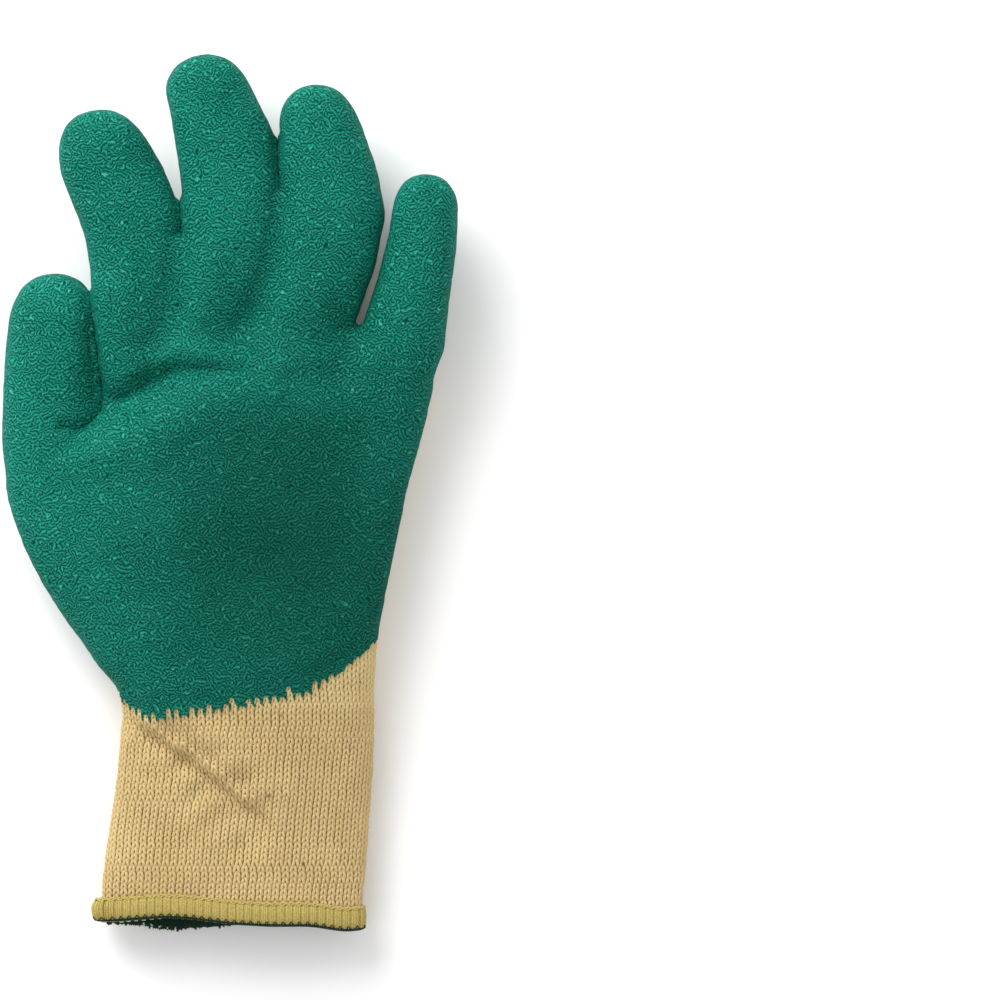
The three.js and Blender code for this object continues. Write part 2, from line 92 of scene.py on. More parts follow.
# Skin
VOXEL = 0.8 * MM
SETTLE = 40  # rounds of smoothing, which take the CAD's facets away
WELD = 0.002 * MM  # corners of the CAD mesh that are this close are one
LOW_RIM = 2.5 * MM  # a node's cut rim lies this close to its low end
HIGH_RIM = 0.05 * MM  # and this close to its high end
PAST_MOUTH = 8 * MM  # how far the skin runs on past the mouth before it is cut
INTO_HAND = 0.9 * MM  # how far the cuff's skin runs into the hand's, so that both join

# Hem
HEM_HEIGHT = 5.6 * MM
HEM_STITCH = 2.4 * MM  # one overlock stitch along the mouth
THREADS_IN_STITCH = 4
HEM_BULGE = 1.1  # how much fuller it is at its left end, as a share
BULGE_START = (33 * MM, 38 * MM)  # from the middle to the left, where it grows fuller

# Profiles of the hem from the front over the knit's edge to the inside: (out, up) in mm from that edge
HEM_TOP = HEM_HEIGHT / MM
OVER_EDGE = [(0.2, HEM_TOP), (0.75, HEM_TOP - 0.3), (1.1, HEM_TOP - 1.5), (1.25, HEM_TOP * 0.5), (1.15, 1.0),
             (0.85, -0.3), (0.1, -0.95), (-0.9, -0.8), (-1.6, 0.2)]
ON_INSIDE = [(-0.6, -1.2), (-1.7, -1.0), (-2.35, 0.0), (-2.6, 1.6), (-2.6, 4.0), (-2.3, 5.4)]
EDGE_TICKS = [(1.2, -0.75), (1.45, 0.2), (1.25, -0.7), (1.0, -0.8)]  # of the dark thread

# One dash of the needle thread: (along, up, out) in mm
NEEDLE_DASH = [(-0.8, 0.1, 0), (-0.3, -0.1, -0.3), (0.4, -0.1, -0.3), (0.9, 0.15, 0)]
LOOSE_ENDS = (-27 * MM, -15 * MM)  # across, where the pale thread has come loose inside the mouth
BACK_LAYER = 7 * MM  # the mouth's back layer lies below this
FRONT_LAYER = 9.5 * MM  # and its front layer above this

# Edge of the mouth, in millimetres: where the front layer and the back layer end at places across
MOUTH_EDGE = [
    {"across": -46, "front": -127.6, "back": -127.4},
    {"across": -36, "front": -127.0, "back": -127.6},
    {"across": -27, "front": -126.2, "back": -128.6},
    {"across": -19, "front": -125.6, "back": -130.0},
    {"across": -11, "front": -126.1, "back": -129.4},
    {"across": 0, "front": -127.5, "back": -128.7},
    {"across": 12, "front": -128.2, "back": -128.6},
    {"across": 24, "front": -128.2, "back": -129.2},
    {"across": 34, "front": -129.9, "back": -129.8},
    {"across": 46, "front": -129.2, "back": -129.2},
]

# Lower edge of the coat on the palm, in millimetres across and along
DIP_LINE = [(-70, -50), (-33.4, -61.8), (-25.4, -68.4), (-9, -66.3), (9, -63.3), (23.9, -60.3), (34.3, -52.8),
            (44.2, -43.9), (52, -30), (80, -22)]
TEETH_FADE = (26 * MM, 34 * MM)  # across, where the teeth of the dip line grow short
TEETH_TOP = -20 * MM  # along, above all teeth
THUMB_SIDE = -45 * MM  # across: beyond this only the thumb's loops of skin have their middle

# Valleys that the latex closes between two fingers, in mm: root, open end and radius of the soft floor
WEB_STEP = 0.75 * MM  # between the points across a web
WEB_STEPS = 14  # points on each side of its middle
WEB_STATIONS = 44  # points along it
OVERHEAD = 80 * MM  # above all of the glove
WEBS = [
    {"name": "index and middle finger", "root": (-21, 40), "end": (-14.3, 83.5), "radius": 9},
    {"name": "middle and ring finger", "root": (2, 44), "end": (14.9, 99), "radius": 4.5},
]
CROTCHES = [(-36, 20), (-14, 83), (15, 99), (38, 54), (41, 66)]  # coated right through to the back

PAINTED_PALM_SHADE = {"centre": (23, -20), "reach": (46, 58)}  # where painted shade darkens the latex, over the middle of the palm

# Creases of the upper face, in millimetres across and along. lip is the height of the rise on the left of the
# path as it is walked, width the half breadth of the valley.
CREASES = [
    {"name": "crease of the ball of the thumb", "depth": 2.9, "lip": 0.9, "width": 3.1,
     "path": [(-38, 24.5), (-30, 29.8), (-24, 34.2), (-15, 37.2), (0, 35.6), (15, 33.6)]},
    {"name": "end of that crease", "depth": 1.1, "lip": 0.2, "width": 4.5,
     "path": [(15, 33.6), (30, 34.5), (44, 36)]},
    {"name": "under the index finger's side", "depth": 2.4, "lip": 0.4, "width": 2.2,
     "path": [(-52, 20.3), (-45, 19.2), (-38, 21.8)]},
    {"name": "inner side of the thumb", "depth": 2.2, "lip": 0.0, "width": 3.4,
     "path": [(-41.5, 24), (-41, 40), (-42.5, 54)]},
    {"name": "side of the index finger's root", "depth": 1.1, "lip": 0.3, "width": 2.6,
     "path": [(-27.5, 44), (-22.4, 46.3), (-19.2, 49.5), (-17.7, 58), (-16.2, 69.5)]},
    {"name": "root between middle and ring finger", "depth": 1.5, "lip": 0.2, "width": 4.4,
     "path": [(2, 47), (5, 53), (9, 62)]},
    {"name": "middle finger's root", "depth": 0.5, "lip": 0.0, "width": 3.0,
     "path": [(-12, 46.5), (-4, 45), (3, 46)]},
    {"name": "ring finger's root", "depth": 0.8, "lip": 0.0, "width": 5.0,
     "path": [(30, 48), (32, 58)]},
    {"name": "groove of the palm, upper", "depth": 0.6, "lip": 0.2, "width": 3.2,
     "path": [(31, 14), (37, 4), (42, -6)]},
    {"name": "groove of the palm, lower", "depth": 0.5, "lip": 0.2, "width": 3.0,
     "path": [(22, -27), (30, -38)]},
    {"name": "fold of the cuff", "depth": 1.2, "lip": 1.2, "width": 2.1,
     "path": [(-33, -65.5), (-24, -73), (-12, -81), (-4.5, -87), (3, -93.5), (12, -99)]},
]

CREASE_START = (0.0, 0.15)  # share of the path over which a crease grows
CREASE_END = (0.65, 1.0)  # share of the path over which it fades
CREASE_LOSS = 0.85  # how much of it is lost by then

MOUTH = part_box("knit_cuff")[0].y
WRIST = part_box("knit_cuff")[1].y


# Arrays
def mesh_arrays(mesh):
    """Corner places and triangles of a mesh, as arrays."""
    places = np.zeros(len(mesh.vertices) * 3)
    mesh.vertices.foreach_get("co", places)
    mesh.calc_loop_triangles()
    triangles = np.zeros(len(mesh.loop_triangles) * 3, int)
    mesh.loop_triangles.foreach_get("vertices", triangles)
    return places.reshape(-1, 3), triangles.reshape(-1, 3)


def edges_of(triangles):
    """Each edge once, as a pair of corners."""
    pairs = np.concatenate([triangles[:, [0, 1]], triangles[:, [1, 2]], triangles[:, [2, 0]]])
    return np.unique(np.sort(pairs, axis=1), axis=0)


def relax(values, edges, rounds, share=0.5):
    """Values on the corners, each drawn towards the mean of its neighbours, round by round."""
    result = np.array(values, float).reshape(len(values), -1)
    count = np.bincount(edges.ravel(), minlength=len(result)).clip(1)
    for _ in range(rounds):
        for k in range(result.shape[1]):
            column = result[:, k]
            total = np.bincount(edges[:, 0], column[edges[:, 1]], len(result))
            total += np.bincount(edges[:, 1], column[edges[:, 0]], len(result))
            result[:, k] = column + share * (total / count - column)
    return result.reshape(np.shape(values))


def normals_of(places, triangles):
    """The outward direction at each corner, weighed by the area of its triangles."""
    a, b, c = (places[triangles[:, k]] for k in range(3))
    face = np.cross(b - a, c - a)
    total = np.zeros_like(places)
    for k in range(3):
        for axis in range(3):
            total[:, axis] += np.bincount(triangles[:, k], face[:, axis], len(places))
    return total / np.linalg.norm(total, axis=1, keepdims=True).clip(1e-12)


def smooth_step(value, low, high):
    """0 below low, 1 above high, and a soft rise between them."""
    t = np.clip((value - low) / (high - low), 0, 1)
    return t * t * (3 - 2 * t)


def ripple(places, height, period, seed):
    """Soft noise at each place, of the given height up and down and the given period."""
    shift = Vector((seed, 2 * seed, 3 * seed))
    return height * np.array([noise.noise(Vector(p) / period + shift) for p in places])


def placed(name, data):
    """A new object in the scene, at the origin."""
    made = bpy.data.objects.new(name, data)
    bpy.context.scene.collection.objects.link(made)
    return made


def new_object(name, places, faces, material):
    mesh = bpy.data.meshes.new(name)
    mesh.from_pydata(np.asarray(places).tolist(), [], [tuple(map(int, face)) for face in faces])
    mesh.update()
    mesh.shade_smooth()
    mesh.materials.append(material)
    return placed(name, mesh)


def mesh_of(name, shape):
    """The mesh of a bmesh, which is freed."""
    mesh = bpy.data.meshes.new(name)
    shape.to_mesh(mesh)
    shape.free()
    return mesh


# Skin of the glove
def shell(node, ends, inner=False):
    """The outer or the inner shell of a CAD node with an empty inside, without the cut rims at the named
    ends.
    """
    shape = bmesh.new()
    shape.from_mesh(nodes[node].data)
    bmesh.ops.remove_doubles(shape, verts=shape.verts, dist=WELD)
    low = min(v.co.y for v in shape.verts)
    high = max(v.co.y for v in shape.verts)
    shape.normal_update()
    rims = []
    for face in shape.faces:
        y = face.calc_center_median().y
        at_end = ("low" in ends and y < low + LOW_RIM) or ("high" in ends and y > high - HIGH_RIM)
        if at_end and abs(face.normal.y) > 0.8:
            rims.append(face)
    bmesh.ops.delete(shape, geom=rims, context="FACES")
    islands = []
    left = set(shape.faces)
    while left:
        found = {left.pop()}
        front = list(found)
        while front:
            for edge in front.pop().edges:
                fresh = [face for face in edge.link_faces if face in left]
                left.difference_update(fresh)
                found.update(fresh)
                front.extend(fresh)
        islands.append(found)
    islands.sort(key=lambda faces: sum(face.calc_area() for face in faces))
    kept = islands[-2] if inner else islands[-1]
    bmesh.ops.delete(shape, geom=[face for face in shape.faces if face not in kept], context="FACES")
    return shape


def closed_skin():
    """The outside of the knit as one closed, even mesh. It runs on past the mouth, where it is cut later."""
    whole = bmesh.new()
    for node, ends in (("knit_hand", ("low",)), ("knit_cuff", ("low", "high"))):
        part = shell(node, ends)
        for v in part.verts:
            if node == "knit_cuff" and v.is_boundary:
                v.co.y += INTO_HAND if v.co.y > WRIST - 1 * MM else -PAST_MOUTH
        bmesh.ops.holes_fill(part, edges=[e for e in part.edges if e.is_boundary], sides=0)
        bmesh.ops.triangulate(part, faces=part.faces)
        mesh = mesh_of("part", part)
        whole.from_mesh(mesh)
        bpy.data.meshes.remove(mesh)
    skin = placed("skin", mesh_of("skin", whole))
    even = skin.modifiers.new("Even", "REMESH")
    even.mode = "VOXEL"
    even.voxel_size = VOXEL
    arrays = mesh_arrays(skin.evaluated_get(bpy.context.evaluated_depsgraph_get()).to_mesh())
    bpy.data.objects.remove(skin)
    return arrays


def settled(places, triangles):
    """The skin without the CAD's facets: smoothed, then given back the fullness that smoothing took."""
    edges = edges_of(triangles)
    rounded = relax(places, edges, SETTLE)
    outward = normals_of(rounded, triangles)
    lost = relax(((places - rounded) * outward).sum(1), edges, SETTLE)
    return rounded + outward * lost[:, None]


def crease_relief(places):
    """Height that the creases add at each place, from the nearest point of each path."""
    relief = np.zeros(len(places))
    flat = places[:, :2] / MM
    for crease in CREASES:
        nearest = np.full(len(places), 1e9)
        side = np.zeros(len(places))
        ends = np.zeros(len(places))
        path = [np.array(point, float) for point in crease["path"]]
        for number, (a, b) in enumerate(zip(path, path[1:])):
            way = b - a
            t = ((flat - a) @ way / (way @ way)).clip(0, 1)
            apart = flat - a - t[:, None] * way
            far = np.hypot(*apart.T)
            closer = far < nearest
            nearest[closer] = far[closer]
            side[closer] = (way[0] * apart[closer, 1] - way[1] * apart[closer, 0]) / np.hypot(*way)
            ends[closer] = (number + t[closer]) / (len(path) - 1)
        width = crease["width"]
        strength = smooth_step(ends, *CREASE_START) * (1 - CREASE_LOSS * smooth_step(ends, *CREASE_END))
        valley = np.exp(-((nearest / width) ** 2))
        lip = np.exp(-(((side - 1.4 * width) / width) ** 2)) * np.exp(-((nearest / (2.4 * width)) ** 2))
        relief -= crease["depth"] * strength * valley
        relief += crease["lip"] * strength * lip
    return relief * MM


def refined(triangles, chosen, *fields):
    """The chosen triangles, each cut in four, and the values on the corners."""
    a, b, c = triangles[chosen].T
    pairs = np.sort(np.concatenate([np.stack(pair, 1) for pair in ((a, b), (b, c), (c, a))]), axis=1)
    edges, index = np.unique(pairs, axis=0, return_inverse=True)
    ab, bc, ca = len(fields[0]) + index.reshape(3, -1)
    parts = [(a, ab, ca), (ab, b, bc), (ca, bc, c), (ab, bc, ca)]
    new = np.concatenate([np.stack(part, axis=1) for part in parts])
    halved = [np.concatenate([field, field[edges].mean(1)]) for field in fields]
    return np.concatenate([triangles[~chosen], new]), halved


def cut_away(triangles, values, *fields):
    """The surface where values are above 0, cut cleanly through the triangles, and the edge of the cut."""
    inside = values > 0
    count = inside[triangles].sum(1)
    crossing = triangles[(count == 1) | (count == 2)]
    lone = inside[crossing] == (inside[crossing].sum(1) == 1)[:, None]
    first = lone.argmax(1)
    row = np.arange(len(crossing))
    a, b, c = (crossing[row, (first + k) % 3] for k in range(3))
    pairs = np.sort(np.concatenate([np.stack([a, b], 1), np.stack([a, c], 1)]), axis=1)
    edges, index = np.unique(pairs, axis=0, return_inverse=True)
    ab, ac = len(values) + index.reshape(2, -1)
    t = values[edges[:, 0]] / (values[edges[:, 0]] - values[edges[:, 1]])
    grown = []
    for field in fields:
        share = t if field.ndim == 1 else t[:, None]
        grown.append(np.concatenate([field, field[edges[:, 0]] * (1 - share) + field[edges[:, 1]] * share]))
    alone = inside[a]
    kept = [triangles[count == 3], np.stack([a, ab, ac], 1)[alone]]
    kept += [np.stack([ab, b, c], 1)[~alone], np.stack([ab, c, ac], 1)[~alone]]
    rim = np.where(alone[:, None], np.stack([ab, ac], 1), np.stack([ac, ab], 1))
    faces = np.concatenate(kept)
    used = np.unique(faces)
    new_of = np.zeros(len(grown[0]), int)
    new_of[used] = np.arange(len(used))
    return new_of[faces], new_of[rim], [field[used] for field in grown]


# Rows of stitches
def loops_at(places, triangles, y):
    """The closed section lines of the skin at a place along the glove, each as an array of points."""
    above = places[:, 1] > y
    cut = triangles[(above[triangles].sum(1) % 3) != 0]
    links = {}
    spots = {}
    for corners in cut:
        crossed = []
        for k in range(3):
            a, b = sorted((int(corners[k]), int(corners[(k + 1) % 3])))
            if above[a] != above[b]:
                crossed.append((a, b))
                t = (y - places[a, 1]) / (places[b, 1] - places[a, 1])
                spots[(a, b)] = places[a] + t * (places[b] - places[a])
        links.setdefault(crossed[0], []).append(crossed[1])
        links.setdefault(crossed[1], []).append(crossed[0])
    loops = []
    while links:
        start = next(iter(links))
        walk = [start]
        here = start
        while True:
            ahead = [edge for edge in links.pop(here) if edge in links]
            if not ahead:
                break
            here = ahead[0]
            walk.append(here)
        if len(walk) > 12:
            loops.append(np.array([spots[edge] for edge in walk]))
    return loops


def ulnar_first(loop):
    """A closed loop as an open run of points from its little-finger side, over the front and back again."""
    side = np.flatnonzero(loop[:, 0] > loop[:, 0].max() - 0.5 * MM)
    start = side[np.abs(loop[side, 2] - loop[side, 2].mean()).argmin()]
    ring = np.roll(loop, -start, axis=0)
    if ring[len(ring) // 6, 2] < ring[-(len(ring) // 6), 2]:
        ring = np.roll(ring[::-1], 1, axis=0)
    ring = np.concatenate([ring, ring[:1]])
    return ring, np.concatenate([[0], np.cumsum(np.linalg.norm(np.diff(ring, axis=0), axis=1))])


def at_lengths(ring, lengths, wanted):
    return np.stack([np.interp(wanted, lengths, ring[:, k]) for k in range(3)], axis=1)


def stitch_row(loop, y):
    """A row's line and where along it its stitches lie, their spacing and their columns.

    Columns on the back are numbered below 0."""
    ring, lengths = ulnar_first(loop)
    round_it = lengths[-1]
    spread = smooth_step(y, WRIST, WRIST + ELASTIC_FADE)
    spacing = (1 - spread) * min(round_it / WALES, HAND_WALE) + spread * HAND_WALE
    one_side = np.arange(int(round_it / 2 / spacing + 0.25)) + 0.5
    wanted = np.concatenate([one_side * spacing, round_it - one_side * spacing])
    columns = np.concatenate([one_side, -one_side])
    return ring, lengths, wanted, spacing, columns


class Skin:
    """The skin's surface, to look up a direction or a value near a place."""

    def __init__(self, places, triangles, outward, coated):
        self.tree = BVHTree.FromPolygons(places.tolist(), triangles.tolist())
        self.triangles = triangles
        self.outward = outward
        self.coated = coated

    def near(self, place):
        corners = self.triangles[self.tree.find_nearest(Vector(place))[2]]
        return Vector(self.outward[corners].mean(0)), self.coated[corners].mean()


# Edge of the coat
def dip_height(x):
    """How far along the glove the dip line lies, at places across."""
    line = np.array(DIP_LINE) * MM
    return np.interp(x, line[:, 0], line[:, 1])


def bare_back(places, triangles):
    """1 well inside the coat, -1 well inside the bare knit of the back, with the coat node's outline."""
    coat_places, coat_triangles = mesh_arrays(nodes["latex_coat"].data)
    coat = BVHTree.FromPolygons(coat_places.tolist(), coat_triangles.tolist())
    away = np.array([coat.find_nearest(Vector(p))[3] for p in places])
    covered = (away < NEAR_COAT) | (places[:, 2] > BACK_EDGE_HEIGHT)
    for x, y in CROTCHES:
        covered |= np.hypot(places[:, 0] - x * MM, places[:, 1] - y * MM) < CROTCH_REACH
    return relax(np.where(covered, 1.0, -1.0), edges_of(triangles), 22)


def tooth_height(places, rows):
    """How far each column of stitches stays bare above the dip line, at each of these places.

    The sines give each column a length and a lean of its own."""
    height = np.zeros(len(places))
    row_of = np.abs(places[:, 1][:, None] - np.array([row["y"] for row in rows])[None, :]).argmin(1)
    for number, row in enumerate(rows):
        chosen = row_of == number
        column = np.interp(places[chosen, 0], row["x"], row["column"])
        middle = np.floor(column) + 0.5
        share = 0.66 + 0.5 * np.sin(middle * 12.9898) * np.sin(middle * 4.137 + 1)
        lean = 0.07 * np.sin(middle * 7.3)
        peak = np.exp(-(((column - middle - lean) / 0.36) ** 6))
        height[chosen] = TOOTH * share * peak * (1 - 0.75 * smooth_step(places[chosen, 0], *TEETH_FADE))
    return height


# Materials
def linear(hex_colour):
    """The linear colour of an sRGB hex colour, as a node's colour input wants it."""
    parts = [int(hex_colour[k:k + 2], 16) / 255 for k in (1, 3, 5)]
    return tuple(c / 12.92 if c <= 0.04045 else ((c + 0.055) / 1.055) ** 2.4 for c in parts) + (1.0,)


def fill(tree, socket, value):
    """Links a socket to another node's output, or sets its constant. A hex string is a colour."""
    if isinstance(value, bpy.types.NodeSocket):
        tree.links.new(value, socket)
    else:
        is_colour = isinstance(value, str) and value.startswith("#")
        socket.default_value = linear(value) if is_colour else value


def add_node(tree, kind, settings, inputs):
    """A node with its settings, and its input sockets filled by name or by number."""
    made = tree.nodes.new(kind)
    for key, value in settings.items():
        setattr(made, key, value)
    for key, value in inputs.items():
        fill(tree, made.inputs[key], value)
    return made


class Finish:
    """A material whose nodes are added one by one."""

    def __init__(self, name):
        self.material = bpy.data.materials.new(name)
        self.material.use_nodes = True
        self.tree = self.material.node_tree
        self.place = self.node("ShaderNodeTexCoord", {}, {}).outputs["Object"]

    def node(self, kind, settings, inputs):
        return add_node(self.tree, kind, settings, inputs)

    def math(self, operation, *values):
        return self.node("ShaderNodeMath", {"operation": operation}, dict(enumerate(values))).outputs[0]

    def attribute(self, name):
        return self.node("ShaderNodeAttribute", {"attribute_name": name}, {}).outputs["Fac"]

    def noise(self, period, detail=2.0, output="Fac"):
        inputs = {"Vector": self.place, "Scale": 1 / period, "Detail": detail}
        return self.node("ShaderNodeTexNoise", {}, inputs).outputs[output]

    def between(self, value, low, high):
        """Where a value lies from low to high, as a soft step from 0 to 1."""
        inputs = {"Value": value, "From Min": low, "From Max": high}
        return self.node("ShaderNodeMapRange", {"interpolation_type": "SMOOTHSTEP"}, inputs).outputs[0]

    def mixed(self, share, first, second):
        return self.node("ShaderNodeMix", {"data_type": "FLOAT"}, {0: share, 2: first, 3: second}).outputs[0]

    def blend(self, share, first, second):
        return self.node("ShaderNodeMix", {"data_type": "RGBA"}, {0: share, 6: first, 7: second}).outputs[2]

    def bump(self, height, distance, strength):
        inputs = {"Height": height, "Distance": distance, "Strength": strength}
        return self.node("ShaderNodeBump", {}, inputs).outputs[0]

    def finish(self, colour, roughness, **inputs):
        surface = self.tree.nodes["Principled BSDF"]
        fill(self.tree, surface.inputs["Base Color"], colour)
        fill(self.tree, surface.inputs["Roughness"], roughness)
        for key, value in inputs.items():
            fill(self.tree, surface.inputs[key.replace("_", " ")], value)
        return self.material


def crinkled_latex():
    """Dark green natural latex that shrank as it dried: thin, wandering ridges over crevices, with painted
    shade in the crevices and a painted highlight on the ridges.

    The pattern is drawn from above, and on upright walls from the side, where the "side" values are 1.
    Painted shade darkens the latex over the middle of the palm, by values of the coat that are 1 there."""
    latex = Finish("crinkled latex")
    flat = latex.node("ShaderNodeSeparateXYZ", {}, {"Vector": latex.place}).outputs
    along = latex.math("ADD", flat["X"], flat["Y"])
    upright = latex.node("ShaderNodeCombineXYZ", {}, {"X": along, "Y": flat["Z"]}).outputs[0]
    drift = latex.noise(2.0 * MM, 0.0, "Color")
    ridges = []
    crevices = []
    for where in (latex.place, upright):
        bent = latex.node("ShaderNodeVectorMath", {"operation": "MULTIPLY_ADD"},
                          {0: drift, 1: (1.7 * MM,) * 3, 2: where})
        waves = {"Vector": bent.outputs[0], "Scale": 1 / (2.0 * MM), "Frequency": 2.05, "Anisotropy": 0.22,
                 "Orientation": math.pi / 2}
        grain = latex.node("ShaderNodeTexGabor", {"gabor_type": "2D"}, waves).outputs["Phase"]
        off_crest = latex.math("ABSOLUTE", latex.math("SUBTRACT", grain, 0.5))
        ridges.append(latex.between(off_crest, 0.14, 0.02))
        crevices.append(latex.between(off_crest, 0.3, 0.45))
    side = latex.attribute("side")
    ridge = latex.mixed(side, *ridges)
    crevice = latex.mixed(side, *crevices)
    # Ridges fainter in random patches: lower and with less of their painted highlight.
    uneven_ridges = latex.between(latex.noise(3.1 * MM, 1.0), 0.3, 0.6)
    ridge = latex.math("MULTIPLY", ridge, latex.math("MULTIPLY_ADD", uneven_ridges, 0.55, 0.45))
    height = latex.math("SUBTRACT", ridge, latex.math("MULTIPLY", crevice, 0.6))
    patches = latex.between(latex.noise(24 * MM, 2.0), 0.3, 0.7)
    base = latex.blend(patches, "#006f5c", "#0a7d6b")
    # Painted shade: the crevices of the crinkle are coloured darker.
    base = latex.blend(latex.math("MULTIPLY", crevice, 0.88), base, "#003125")
    # Painted highlight: the crests of the ridges are coloured lighter.
    colour = latex.blend(ridge, base, "#45b29e")
    # Painted shade: the latex darkened towards the middle of the palm.
    colour = latex.blend(latex.math("MULTIPLY", latex.attribute("hollow"), 0.62), colour, "#00281d")
    return latex.finish(colour, 0.65, Normal=latex.bump(height, 0.3 * MM, 1.0), Specular_IOR_Level=0.06)


def cream_yarn(name, light, dark):
    """Unbleached cotton and polyester yarn: matt, softly twisted, with a few loose fibres and specks."""
    yarn = Finish(name)
    fibres = yarn.noise(0.35 * MM)
    patches = yarn.between(yarn.noise(14 * MM, 2.0), 0.3, 0.7)
    colour = yarn.blend(patches, light, dark)
    colour = yarn.blend(yarn.math("MULTIPLY", yarn.between(fibres, 0.6, 0.3), 0.4), colour, "#a18651")
    specks = yarn.between(yarn.noise(3.4 * MM, 0.0), 0.83, 0.9)
    colour = yarn.blend(yarn.math("MULTIPLY", specks, 0.6), colour, "#6a5631")
    return yarn.finish(colour, 0.9, Normal=yarn.bump(fibres, 0.12 * MM, 0.6), Specular_IOR_Level=0.15)


def thread_finish(name, light, dark):
    """Polyester overlock thread: a little smoother than the knit's yarn, with a fine twist."""
    thread = Finish(name)
    twist = thread.noise(0.4 * MM)
    colour = thread.blend(thread.between(twist, 0.3, 0.7), dark, light)
    return thread.finish(colour, 0.8, Normal=thread.bump(twist, 0.1 * MM, 0.6), Specular_IOR_Level=0.2)


# Yarn and threads
def yarn_tube(path, radii, sides=5):
    """Corners and faces of a closed tube along a path of points."""
    path = np.array(path, float)
    ways = np.gradient(path, axis=0)
    ways /= np.linalg.norm(ways, axis=1, keepdims=True)
    across = np.cross(ways, (0.37, 0.21, 1.0))
    across /= np.linalg.norm(across, axis=1, keepdims=True)
    up = np.cross(across, ways)
    turns = np.arange(sides) * 2 * np.pi / sides
    rings = [p + r * (np.cos(turns)[:, None] * a + np.sin(turns)[:, None] * b)
             for p, r, a, b in zip(path, radii, across, up)]
    corners = np.concatenate(rings)
    faces = []
    for ring in range(len(path) - 1):
        for k in range(sides):
            low = ring * sides + k
            side = ring * sides + (k + 1) % sides
            faces.append((low, side, side + sides, low + sides))
    faces.append(tuple(range(sides))[::-1])
    faces.append(tuple(range(len(corners) - sides, len(corners))))
    return corners, faces


def profile_tube(profile, radius, sides):
    """A tube along a profile of (out, up) pairs."""
    return yarn_tube([(0, up, out) for out, up in profile], [radius] * len(profile), sides)


def template(name, tubes):
    """One mesh object of several tubes, to be laid again and again."""
    corners = []
    faces = []
    for tube_corners, tube_faces in tubes:
        faces += [tuple(i + len(corners) for i in face) for face in tube_faces]
        corners += tube_corners.tolist()
    mesh = bpy.data.meshes.new(name)
    mesh.from_pydata(corners, [], faces)
    return bpy.data.objects.new(name, mesh)


def knit_stitch():
    """A knit stitch as the glove shows it, cuff down: two legs that lean together at the top."""
    legs = []
    for side in (-1, 1):
        path = [(side * 0.29, -0.66, -0.07), (side * 0.29, -0.12, 0.03), (side * 0.2, 0.38, 0.03),
                (side * 0.09, 0.9, -0.07)]
        legs.append(yarn_tube(path, (0.19, 0.255, 0.25, 0.18)))
    return template("knit_stitch", legs)


def laying_tree():
    """Geometry Nodes that lay one stitch on each point, turned and sized by the point's own values."""
    tree = bpy.data.node_groups.new("laid stitches", "GeometryNodeTree")
    face = tree.interface
    face.new_socket("Geometry", in_out="INPUT", socket_type="NodeSocketGeometry")
    face.new_socket("Geometry", in_out="OUTPUT", socket_type="NodeSocketGeometry")
    face.new_socket("Stitch", in_out="INPUT", socket_type="NodeSocketObject")
    face.new_socket("Yarn", in_out="INPUT", socket_type="NodeSocketMaterial")
    face.new_socket("Unevenness", in_out="INPUT", socket_type="NodeSocketFloat")

    def node(kind, settings, inputs):
        return add_node(tree, kind, settings, inputs).outputs

    def point_value(name):
        kind = {"data_type": "FLOAT_VECTOR"}
        return node("GeometryNodeInputNamedAttribute", kind, {"Name": name})["Attribute"]

    given = node("NodeGroupInput", {}, {})
    stitch = node("GeometryNodeObjectInfo", {"transform_space": "ORIGINAL"},
                  {"Object": given["Stitch"], "As Instance": True})["Geometry"]
    smallest = node("ShaderNodeMath", {"operation": "SUBTRACT"}, {0: 1.0, 1: given["Unevenness"]})[0]
    largest = node("ShaderNodeMath", {"operation": "ADD"}, {0: 1.0, 1: given["Unevenness"]})[0]
    chance = node("FunctionNodeRandomValue", {"data_type": "FLOAT"}, {2: smallest, 3: largest, "Seed": 11})[1]
    size = node("ShaderNodeVectorMath", {"operation": "SCALE"}, {0: point_value("size"), "Scale": chance})[0]
    turn = node("FunctionNodeEulerToRotation", {}, {"Euler": point_value("turn")})[0]
    laid = node("GeometryNodeInstanceOnPoints", {},
                {"Points": given["Geometry"], "Instance": stitch, "Rotation": turn, "Scale": size})[0]
    real = node("GeometryNodeRealizeInstances", {}, {"Geometry": laid})[0]
    smooth = node("GeometryNodeSetShadeSmooth", {}, {"Geometry": real})[0]
    dyed = node("GeometryNodeSetMaterial", {}, {"Geometry": smooth, "Material": given["Yarn"]})[0]
    node("NodeGroupOutput", {}, {0: dyed})
    return tree


def lay(name, points, stitch, material, unevenness):
    """One plain mesh of a stitch laid on points, each a tuple of place, turn matrix and size."""
    mesh = bpy.data.meshes.new(name)
    mesh.from_pydata([tuple(point[0]) for point in points], [], [])
    for key, values in (("turn", [p[1].to_euler() for p in points]), ("size", [p[2] for p in points])):
        attribute = mesh.attributes.new(key, "FLOAT_VECTOR", "POINT")
        attribute.data.foreach_set("vector", np.array([tuple(v) for v in values]).ravel())
    made = placed(name, mesh)
    modifier = made.modifiers.new("Laid", "NODES")
    modifier.node_group = TREE
    sockets = {item.name: item.identifier for item in TREE.interface.items_tree if item.in_out == "INPUT"}
    modifier[sockets["Stitch"]] = stitch
    modifier[sockets["Yarn"]] = material
    modifier[sockets["Unevenness"]] = unevenness
    evaluated = made.evaluated_get(bpy.context.evaluated_depsgraph_get())
    plain = bpy.data.meshes.new_from_object(evaluated)
    made.modifiers.clear()
    made.data = plain
    bpy.data.meshes.remove(mesh)
    return made


def frame_at(way, outward):
    """The turn that lays a stitch: X along the row, Y up its column, Z out of the cloth."""
    z = outward.normalized()
    x = (way - way.dot(z) * z).normalized()
    y = z.cross(x)
    if y.y < 0:
        x, y = -x, -y
    return Matrix((x, y, z)).transposed()


